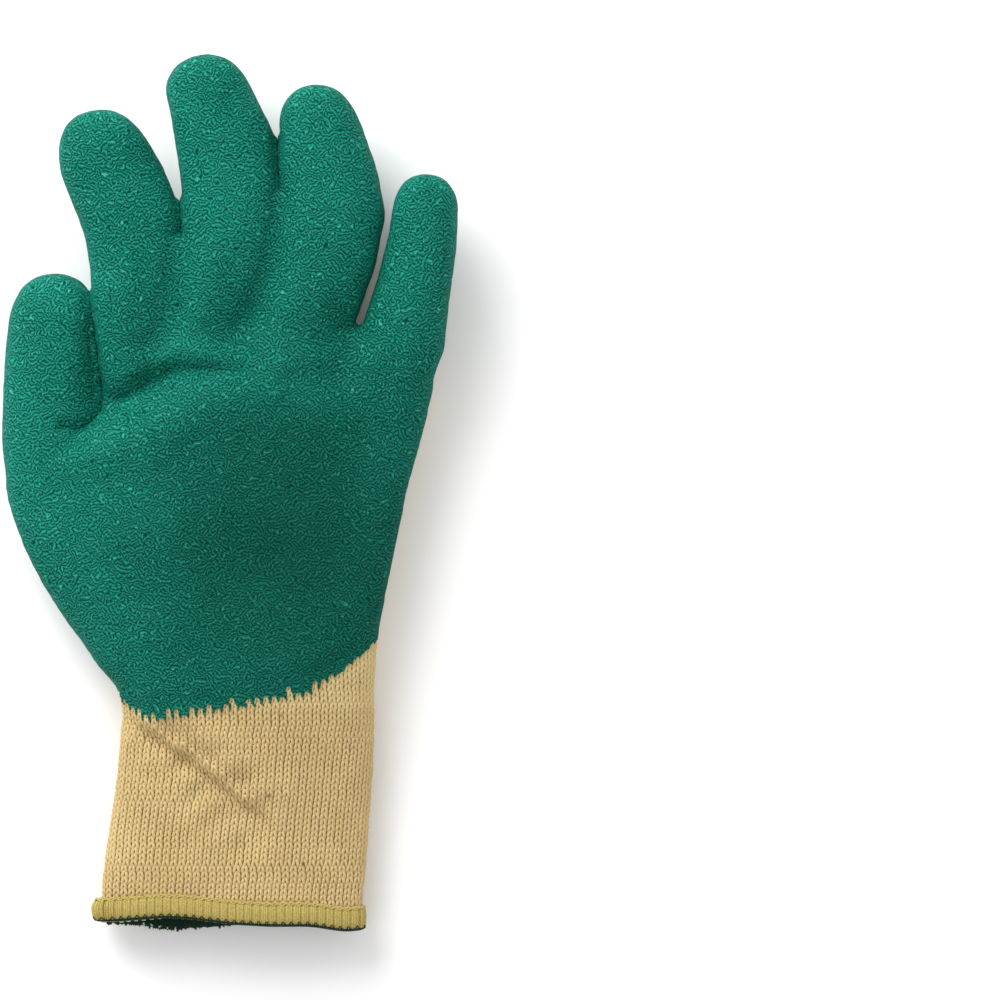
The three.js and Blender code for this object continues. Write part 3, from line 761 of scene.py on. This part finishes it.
def mouth_edge(places):
    """How far down the glove the knit ends, over places near the mouth."""
    across = np.array([row["across"] for row in MOUTH_EDGE]) * MM
    front = np.interp(places[:, 0], across, np.array([row["front"] for row in MOUTH_EDGE]) * MM)
    back = np.interp(places[:, 0], across, np.array([row["back"] for row in MOUTH_EDGE]) * MM)
    return back + (front - back) * smooth_step(places[:, 2], BACK_LAYER, FRONT_LAYER)


def finished(made, node):
    """Puts a finished piece in the frame, in place of its CAD node."""
    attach(made, "root")
    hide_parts(node)


# Pieces
def web_sheet(tree, web):
    """The latex across the valley between two fingers, as a ball rolled along it from above leaves it."""
    root, end = (np.array(web[key]) * MM for key in ("root", "end"))
    way = (end - root) / np.linalg.norm(end - root)
    across = np.array((way[1], -way[0]))
    steps = np.arange(-WEB_STEPS, WEB_STEPS + 1) * WEB_STEP
    stations = np.linspace(0, 1, WEB_STATIONS)
    radius = web["radius"] * MM
    apart = np.abs(steps[:, None] - steps[None, :])
    rise = np.sqrt(np.maximum(radius ** 2 - apart ** 2, 0)) - radius
    rise[apart > radius] = -1
    heights = []
    for station in stations:
        spots = root + (end - root) * station + steps[:, None] * across
        hits = [tree.ray_cast(Vector((x, y, OVERHEAD)), Vector((0, 0, -1)))[0] for x, y in spots]
        seen = np.array([hit.z if hit else 0.0 for hit in hits])
        centres = (seen[None, :] + rise).max(1)
        heights.append((centres[None, :] - rise).min(1))
    heights = np.array(heights)
    for _ in range(3):
        heights[1:-1] = (heights[:-2] + 2 * heights[1:-1] + heights[2:]) / 4
    at_sides = 0.4 * MM * smooth_step(np.abs(steps), 0.6 * steps[-1], steps[-1])
    at_ends = 14 * MM * smooth_step(stations, 0.8, 1.0) + 0.4 * MM * smooth_step(stations, 0.15, 0.0)
    sunk = 0.02 * MM + at_sides[None, :] + at_ends[:, None]
    spots = root + (end - root) * stations[:, None, None] + steps[None, :, None] * across
    corners = np.concatenate([spots, (heights - sunk)[:, :, None]], axis=2).reshape(-1, 3)
    faces = []
    for station in range(len(stations) - 1):
        for step in range(len(steps) - 1):
            low = station * len(steps) + step
            faces.append((low, low + 1, low + 1 + len(steps), low + len(steps)))
    return corners, faces


def pushed_together(outer, outward, triangles):
    """The coat's surface with the gaps between fingers closed, but for the slit before the little finger."""
    tree = BVHTree.FromPolygons(outer.tolist(), triangles.tolist())
    push = np.zeros(len(outer))
    for k in np.flatnonzero(np.abs(outward[:, 2]) < 0.9):
        way = Vector(outward[k])
        start = Vector(outer[k] + outward[k] * 0.05 * MM)
        hit = tree.ray_cast(start, way, FINGER_GAP)
        if hit[0] and hit[1].dot(way) < -0.2:
            at_slit = outer[k, 0] > SLIT_ROOT[0] and outer[k, 1] > SLIT_ROOT[1]
            push[k] = min(0, hit[3] - LITTLE_SLIT) / 2 if at_slit else hit[3] / 2 + 0.1 * MM
    return outer + outward * relax(push, edges_of(triangles), 2)[:, None]


def build_coat(places, triangles, outward, back, rows, material):
    """The latex skin: outside, edge and webs. Its teeth along the dip line follow the columns of stitches."""
    ahead = places[:, 1] - dip_height(places[:, 0])
    fields = [places, outward, back, ahead]
    middle = 1.5 * MM
    for reach in (5.5 * MM, 4.5 * MM):
        near_line = (np.abs(fields[3] - middle) < reach) & (fields[0][:, 2] > 8 * MM)
        triangles, fields = refined(triangles, near_line[triangles].all(1), *fields)
    places, outward, back, ahead = fields
    teeth = np.zeros(len(places))
    near_line = (np.abs(ahead - middle) < 5 * MM) & (places[:, 2] > 6 * MM)
    teeth[near_line] = tooth_height(places[near_line], rows)
    scallops = np.zeros(len(places))
    near_edge = np.abs(back) < 0.9
    scallops[near_edge] = ripple(places[near_edge], **SCALLOPS)
    inside = np.minimum((ahead - teeth) * 0.93, (back + scallops) * BACK_SLOPE)
    fullness = np.minimum(smooth_step(ahead, *EDGE_FADE), smooth_step(back, 0.0, 0.98))
    triangles, rim, (places, outward, fullness) = cut_away(triangles, inside, places, outward, fullness)
    outward /= np.linalg.norm(outward, axis=1, keepdims=True)
    bumps = sum(ripple(places, **bump) for bump in COAT_BUMPS)
    thick = COAT_EDGE + (COAT_THICK - COAT_EDGE + bumps * MM) * fullness
    outer = pushed_together(places + outward * thick[:, None], outward, triangles)
    under = places[rim] - outward[rim] * EDGE_DEPTH
    count = len(rim)
    first = len(outer) + np.arange(count)
    walls = np.stack([rim[:, 1], rim[:, 0], first, first + count], axis=1)
    corners = np.concatenate([outer, under[:, 0], under[:, 1]])
    faces = triangles.tolist() + walls.tolist()
    side = 1 - smooth_step(np.abs(normals_of(outer, triangles)[:, 2]), 0.3, 0.65)
    side = np.concatenate([relax(side, edges_of(triangles), 4), np.zeros(2 * count)])
    tree = BVHTree.FromPolygons(outer.tolist(), triangles.tolist())
    for web in WEBS:
        web_corners, web_faces = web_sheet(tree, web)
        faces += [tuple(len(corners) + corner for corner in face) for face in web_faces]
        corners = np.concatenate([corners, web_corners])
        side = np.concatenate([side, np.zeros(len(web_corners))])
    made = new_object("crinkled_coat", corners, faces, material)
    # Painted shade over the middle of the palm: 1 at its middle, less further out.
    off_centre = (corners[:, :2] / MM - PAINTED_PALM_SHADE["centre"]) / PAINTED_PALM_SHADE["reach"]
    hollow = np.exp(-(off_centre ** 2).sum(1))
    for name, values in (("side", side), ("hollow", hollow)):
        made.data.attributes.new(name, "FLOAT", "POINT").data.foreach_set("value", values)
    return made


def knit_rows(places, triangles, skin):
    """The stitches that show on cuff and hand, and the front columns of each row below the palm's middle."""
    stitches = {"cuff": [], "hand": []}
    rows = []
    step = 0.4 * MM
    for y in np.arange(MOUTH + FIRST_ROW, LAST_ROW, COURSE):
        for loop in loops_at(places, triangles, y):
            on_thumb = y > TEETH_TOP and loop[:, 0].mean() < THUMB_SIDE
            if on_thumb:
                continue
            ring, lengths, wanted, spacing, columns = stitch_row(loop, y)
            spots = at_lengths(ring, lengths, wanted)
            ways = at_lengths(ring, lengths, wanted + step) - at_lengths(ring, lengths, wanted - step)
            if y < TEETH_TOP:
                front = columns > 0
                order = np.argsort(spots[front, 0])
                rows.append({"y": y, "x": spots[front, 0][order], "column": columns[front][order]})
            for spot, way in zip(spots, ways):
                outward, coated = skin.near(spot)
                if coated > UNDER_COAT:
                    continue
                turn = frame_at(Vector(way), outward)
                tall = COURSE / max(abs(turn.col[1].y), 0.62)  # longer where the cloth slopes
                size = (spacing, tall, YARN_BULK)
                zone = "cuff" if y < WRIST else "hand"
                stitches[zone].append((Vector(spot) - outward * YARN_DEPTH, turn, size))
    return stitches, rows


def hem_ring(places, triangles):
    """Points round the mouth at the knit's edge, one for each hem thread, with the way along and out.

    The way out is longer on the left, where the hem is fuller."""
    loop = max(loops_at(places, triangles, MOUTH + 3 * MM), key=len)
    ring, lengths = ulnar_first(loop)
    count = THREADS_IN_STITCH * round(lengths[-1] / HEM_STITCH)
    wanted = (np.arange(count) + 0.5) * lengths[-1] / count
    step = 0.5 * MM
    spots = at_lengths(ring, lengths, wanted)
    ways = at_lengths(ring, lengths, (wanted + step) % lengths[-1])
    ways -= at_lengths(ring, lengths, (wanted - step) % lengths[-1])
    ways[:, 1] = 0
    ways /= np.linalg.norm(ways, axis=1, keepdims=True)
    out = np.cross(ways, (0, 1.0, 0))
    out *= np.sign((out * (spots - spots.mean(0))).sum(1))[:, None]
    for _ in range(6):
        out = (np.roll(out, 1, 0) + out + np.roll(out, -1, 0)) / 3
    out /= np.linalg.norm(out, axis=1, keepdims=True)
    spots[:, 1] = mouth_edge(spots)
    for _ in range(8):
        spots[:, 1] = (np.roll(spots[:, 1], 1) + spots[:, 1] + np.roll(spots[:, 1], -1)) / 3
    full = 1 + HEM_BULGE * smooth_step(-spots[:, 0], *BULGE_START)
    return spots, ways, out * full[:, None]


def swept_band(name, ring, profile, material):
    """A band round the mouth: a profile of (out, up) pairs in millimetres, closed round the ring."""
    spots, _, out = ring
    rows = [spots + out * a * MM + np.array((0, b * MM, 0)) for a, b in profile]
    count = len(spots)
    faces = []
    for low in range(0, count * (len(profile) - 1), count):
        for k in range(count):
            after = (k + 1) % count
            faces.append((low + k, low + after, low + count + after, low + count + k))
    return new_object(name, np.concatenate(rows), faces, material)


def ring_thread(name, ring, steps, radius, material):
    """A thread that runs all round the mouth. steps gives (out, up) in mm at each place of the ring."""
    spots, _, out = ring
    path = np.array([s + o * a * MM + np.array((0, b * MM, 0)) for s, o, (a, b) in zip(spots, out, steps)])
    path = np.concatenate([path, path[:2]])
    corners, faces = yarn_tube(path, [radius] * len(path), 6)
    return new_object(name, corners, faces, material)


def joined(name, pieces, material):
    """Several meshes as one."""
    whole = bmesh.new()
    for piece in pieces:
        whole.from_mesh(piece.data)
    for face in whole.faces:
        face.material_index = 0
    mesh = mesh_of(name, whole)
    mesh.materials.append(material)
    for piece in pieces:
        bpy.data.objects.remove(piece)
    return placed(name, mesh)


def build_overlock(ring, threads, yellow):
    """The yellow overlock: threads over the knit's edge, the cloth under them and the chain at their top."""
    wrap = template("overlock_thread", [profile_tube(OVER_EDGE, 0.48, 6)])
    laid = lay("overlock_threads", threads, wrap, yellow, 0.02)
    bpy.data.objects.remove(wrap)
    band = swept_band("overlock_ground", ring, [(a - 0.1, b) for a, b in OVER_EDGE], yellow)
    phase = np.arange(len(threads)) * 2 * np.pi / THREADS_IN_STITCH
    upper = [(1.0, HEM_TOP - 0.1 + 0.4 * math.sin(p)) for p in phase]
    lower = [(1.15, HEM_TOP - 0.35 + 0.35 * math.sin(p + 2.2)) for p in phase]
    chain = [ring_thread("chain_thread", ring, steps, 0.3 * MM, yellow) for steps in (upper, lower)]
    return joined("overlock_hem", [laid, band, *chain], yellow)


def build_inner_yarn(ring, threads, chance, green):
    """The dark yarn: two lines along the edge, ticks between the yellow threads and ragged loops inside."""
    count = len(threads)
    edge = ring_thread("edge_line", ring, [(0.75, -0.75)] * count, 0.42 * MM, green)
    second = ring_thread("edge_line", ring, [(0.1, -1.1)] * count, 0.32 * MM, green)
    ticks = [EDGE_TICKS[k % len(EDGE_TICKS)] for k in range(count)]
    tick = ring_thread("edge_ticks", ring, ticks, 0.2 * MM, green)
    loop = template("inner_thread", [profile_tube(ON_INSIDE, 0.36, 5)])
    ragged = []
    for place, turn, _ in threads:
        longest = 1.4 if place.x < 0 and place.z < BACK_LAYER else 0.95
        ragged.append((place, turn, (MM, MM * chance.uniform(0.85, longest), MM)))
    laid = lay("inner_threads", ragged, loop, green, 0.1)
    bpy.data.objects.remove(loop)
    ground = swept_band("inner_ground", ring, [(a + 0.3, b) for a, b in ON_INSIDE], green)
    return joined("inner_overlock", [edge, second, tick, laid, ground], green)


def build_needle_thread(threads, chance, pale):
    """The pale dashes of the needle thread on the inside, and its loose ends."""
    dash = template("needle_stitch", [yarn_tube(NEEDLE_DASH, [0.25, 0.5, 0.5, 0.25], 6)])
    dashes = []
    for place, turn, _ in threads[::THREADS_IN_STITCH]:
        at_back = place.z < BACK_LAYER
        front = mouth_edge(np.array([[place.x, 0, 0.02]]))[0]
        up = max(front - 1.6 * MM - place.y, -0.4 * MM) if at_back else 2.2 * MM
        dashes.append((place - turn.col[2] * 2.95 * MM + turn.col[1] * up, turn, (MM, MM, MM)))
        if at_back and LOOSE_ENDS[0] < place.x < LOOSE_ENDS[1]:
            spin = Matrix.Rotation(chance.uniform(0.5, 2.6), 3, "Z")
            low = place - turn.col[2] * 2.8 * MM - turn.col[1] * chance.uniform(0.2, 1.2) * MM
            dashes.append((low, turn @ spin, (0.5 * MM, 0.5 * MM, 0.5 * MM)))
    laid = lay("needle_thread", dashes, dash, pale, 0.1)
    bpy.data.objects.remove(dash)
    return laid


def hem_threads(ring):
    """Place, turn and size of each thread of the hem. The first of each stitch is thinner and lies lower."""
    threads = []
    for k, (spot, way, away) in enumerate(zip(*ring)):
        narrow, low = (0.66, 0.84) if k % THREADS_IN_STITCH == 0 else (1.0, 1.0)
        size = (MM * narrow, MM, MM * np.linalg.norm(away) * low)
        threads.append((Vector(spot), frame_at(Vector(way), Vector(away)), size))
    return threads


def inside_of(name, node, ends, material):
    """The glove's inside, seen through the mouth. Its upper wall sinks with the creases of the outside."""
    shape = shell(node, ends, inner=True)
    bmesh.ops.subdivide_edges(shape, edges=shape.edges, cuts=2, use_grid_fill=True)
    shape.normal_update()
    upper = [v for v in shape.verts if v.normal.z < 0]
    for v, sunk in zip(upper, crease_relief(np.array([v.co for v in upper]))):
        v.co.z += min(sunk, 0)
    mesh = mesh_of(name, shape)
    mesh.shade_smooth()
    mesh.materials.append(material)
    return placed(name, mesh)


TREE = laying_tree()
cuff_yarn = cream_yarn("cuff yarn", "#d2ba86", "#c9b07c")
hand_yarn = cream_yarn("hand yarn", "#dac58f", "#d0b783")
# The cloth between the stitches is the same yarn as the stitches; its slightly darker colours are painted
# shade in the gaps.
ground_yarn = cream_yarn("yarn under the stitches", "#cbb079", "#bb9f69")
# Painted shade: the inside of the knit is the same yarn, coloured darker and browner for the shade inside the
# glove.
inside_yarn = cream_yarn("inside of the knit", "#c9a469", "#b48c52")
yellow_thread = thread_finish("yellow overlock thread", "#c3b06b", "#a08e49")
green_thread = thread_finish("dark green thread", "#15382b", "#06170f")
pale_thread = thread_finish("pale green thread", "#c9d3b6", "#a3b392")

places, triangles = closed_skin()
places = settled(places, triangles)
outward = normals_of(places, triangles)
places[:, 2] += crease_relief(places) * smooth_step(outward[:, 2], 0.15, 0.6)
outward = normals_of(places, triangles)
back = bare_back(places, triangles)
ahead = places[:, 1] - dip_height(places[:, 0])
coated = np.minimum(ahead - 1.3 * TOOTH, back * BACK_SLOPE)
skin = Skin(places, triangles, relax(outward, edges_of(triangles), 4), coated)
stitches, rows = knit_rows(places, triangles, skin)

coat = build_coat(places, triangles, outward, back, rows, crinkled_latex())
finished(coat, "latex_coat")

stitch = knit_stitch()
for name, zone, yarn, node, slot in (
        ("cuff_stitches", "cuff", cuff_yarn, "knit_cuff", "cuff_knit"),
        ("hand_stitches", "hand", hand_yarn, "knit_hand", "knit")):
    finished(lay(name, stitches[zone], stitch, yarn, UNEVENNESS), node)
bpy.data.objects.remove(stitch)

shows = np.minimum(UNDER_COAT_GROUND - coated, places[:, 1] - mouth_edge(places))
bare, _, (ground, lean, level) = cut_away(triangles, shows, places, outward, places[:, 1])
ground = ground - lean * GROUND_DEPTH
for name, side, node, slot in (
        ("cuff_ground", -1, "knit_cuff", "cuff_knit"),
        ("hand_ground", 1, "knit_hand", "knit")):
    faces, _, (corners,) = cut_away(bare, side * (level - WRIST), ground)
    finished(new_object(name, corners, faces, ground_yarn), node)
finished(inside_of("cuff_inside", "knit_cuff", ("low", "high"), inside_yarn), "knit_cuff")
finished(inside_of("hand_inside", "knit_hand", ("low",), inside_yarn), "knit_hand")

ring = hem_ring(places, triangles)
threads = hem_threads(ring)
chance = np.random.default_rng(5)
finished(build_overlock(ring, threads, yellow_thread), "hem_overlock")
finished(build_inner_yarn(ring, threads, chance, green_thread), "hem_inner_yarn")
finished(build_needle_thread(threads, chance, pale_thread), "hem_inner_yarn")


# Studio
def soft_light(name, place, size, power):
    """A white square light that looks at the origin."""
    light = bpy.data.lights.new(name, "AREA")
    light.size = size
    light.energy = power
    made = placed(name, light)
    made.location = place
    made.rotation_euler = (-Vector(place)).to_track_quat("-Z", "Y").to_euler()


TABLE = -0.6 * MM  # where the yarns of the back rest, a little under the CAD
TABLE_HALF = 3  # metres
table_corners = [(x * TABLE_HALF, y * TABLE_HALF, TABLE) for x, y in ((-1, -1), (1, -1), (1, 1), (-1, 1))]
floor = new_object("table", table_corners, [(0, 1, 2, 3)], Finish("white table").finish("#ffffff", 0.9))
soft_light("key_light", (-0.5, 0.76, 0.55), 0.8, 14)
soft_light("fill_light", (1.1, -0.3, 1.0), 1.2, 2)
world = bpy.data.worlds.new("studio")
world.use_nodes = True
world.node_tree.nodes["Background"].inputs["Color"].default_value = (1, 1, 1, 1)
world.node_tree.nodes["Background"].inputs["Strength"].default_value = 0.73
scene = bpy.context.scene
scene.world = world
scene.view_settings.view_transform = "Standard"

VIEW_WIDTH = 0.2985  # metres across the picture, at the height of its centre
VIEW_CENTRE = Vector((0.0806, -0.0021, 0.015))
VIEW_HEIGHT = 1.5  # of the camera above that, metres
camera = bpy.data.cameras.new("camera")
camera.lens = camera.sensor_width * VIEW_HEIGHT / VIEW_WIDTH
eye = placed("camera", camera)
eye.location = VIEW_CENTRE + Vector((0, 0, VIEW_HEIGHT))
scene.camera = eye
